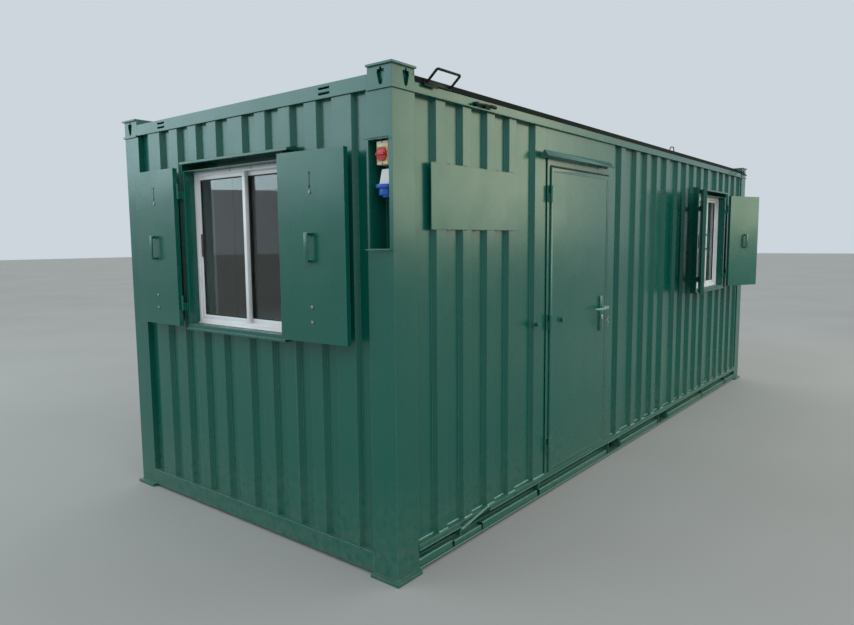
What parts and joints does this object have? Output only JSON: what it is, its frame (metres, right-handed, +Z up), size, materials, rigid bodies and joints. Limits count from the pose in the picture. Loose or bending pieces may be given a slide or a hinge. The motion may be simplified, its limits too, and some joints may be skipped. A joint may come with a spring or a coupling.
{
  "type": "portable site cabin",
  "caption": "Portable steel site cabin with corrugated walls, an entrance door, shuttered windows, lifting boxes on the corner posts and fork pockets.",
  "frame": {"origin": "on the ground under the middle of the cabin", "axes": "+X along the cabin's length, +Z up; the door side faces -Y, and the end with a window and the power inlet faces -X"},
  "size_m": [6.5487, 2.802, 2.5472],
  "materials": {
    "green_enamel": "gloss enamel, weathered",
    "roof_coating": "matt bitumen coating",
    "hoop_steel": "worn black paint",
    "lining_board": "vinyl-faced board",
    "floor_board": "worn plywood",
    "joist_steel": "primer",
    "handle_steel": "satin",
    "white_frame": "satin",
    "window_glass": "polished",
    "isolator_plate": "gloss",
    "red_switch": "gloss",
    "white_housing": "matt",
    "blue_plastic": "gloss"
  },
  "bodies": {
    "cabin": {"post_front_left": "green_enamel", "post_front_right": "green_enamel", "post_back_left": "green_enamel", "post_back_right": "green_enamel", "lifting_box_front_left": "green_enamel", "lifting_box_front_right": "green_enamel", "lifting_box_back_left": "green_enamel", "lifting_box_back_right": "green_enamel", "bottom_side_rails": "green_enamel", "bottom_end_rails": "green_enamel", "top_side_rails": "green_enamel", "top_end_rails": "green_enamel", "front_wall_left": "green_enamel", "front_wall_middle": "green_enamel", "front_wall_right": "green_enamel", "front_wall_over_door": "green_enamel", "front_wall_over_and_under_window": "green_enamel", "back_wall": "green_enamel", "left_wall_front": "green_enamel", "left_wall_back": "green_enamel", "left_wall_over_and_under_window": "green_enamel", "right_wall": "green_enamel", "door_frame": "green_enamel", "door_hood": "green_enamel", "left_window_box": "green_enamel", "front_window_box": "green_enamel", "recess_pan": "green_enamel", "front_board": "green_enamel", "roof_deck": "roof_coating", "roof_hoops": "hoop_steel", "front_lining": "lining_board", "back_lining": "lining_board", "left_lining": "lining_board", "right_lining": "lining_board", "corner_casing": "lining_board", "ceiling": "lining_board", "floor_deck": "floor_board", "floor_joists": "joist_steel", "window_sashes": "white_frame", "window_glass": "window_glass", "isolator_box": "isolator_plate", "inlet_housing": "white_housing", "inlet_collar": "blue_plastic"},
    "door": {"door_leaf": "green_enamel"},
    "lever": {"door_lever": "handle_steel"},
    "end_shutter_back": {"left_window_shutter_back": "green_enamel"},
    "end_shutter_front": {"left_window_shutter_front": "green_enamel"},
    "front_shutter_left": {"front_window_shutter_left": "green_enamel"},
    "front_shutter_right": {"front_window_shutter_right": "green_enamel"},
    "isolator_knob": {"isolator_knob": "red_switch"},
    "inlet_lid": {"inlet_lid": "blue_plastic"}
  },
  "joints": [
    {"name": "entrance_door", "type": "hinge", "parent": "cabin", "child": "door", "pos_m": [-1.677, -1.234, 1.178], "axis": [0, 0, -1], "range_deg": [0, 160]},
    {"name": "door_lever", "type": "hinge", "parent": "door", "child": "lever", "pos_m": [-0.88, -1.234, 1.21], "axis": [0, -1, 0], "range_deg": [0, 45], "stiffness_Nm_per_rad": 1.2, "springref_deg": -28.65},
    {"name": "end_shutter_back", "type": "hinge", "parent": "cabin", "child": "end_shutter_back", "pos_m": [-3.2725, 0.484, 1.68], "axis": [0, 0, 1], "range_deg": [0, 181]},
    {"name": "end_shutter_front", "type": "hinge", "parent": "cabin", "child": "end_shutter_front", "pos_m": [-3.2725, -0.484, 1.68], "axis": [0, 0, -1], "range_deg": [0, 183]},
    {"name": "front_shutter_left", "type": "hinge", "parent": "cabin", "child": "front_shutter_left", "pos_m": [1.266, -1.2915, 1.68], "axis": [0, 0, 1], "range_deg": [-20, 160.5]},
    {"name": "front_shutter_right", "type": "hinge", "parent": "cabin", "child": "front_shutter_right", "pos_m": [2.234, -1.2915, 1.68], "axis": [0, 0, -1], "range_deg": [-23.5, 157]},
    {"name": "isolator_knob", "type": "hinge", "parent": "cabin", "child": "isolator_knob", "pos_m": [-3.18, -1.137, 2.124], "axis": [-1, 0, 0], "range_deg": [0, 90]},
    {"name": "inlet_lid", "type": "hinge", "parent": "cabin", "child": "inlet_lid", "pos_m": [-3.097, -1.143, 1.9265], "axis": [0, -1, 0], "range_deg": [0, 90], "stiffness_Nm_per_rad": 0.08, "springref_deg": -57.3}
  ]
}
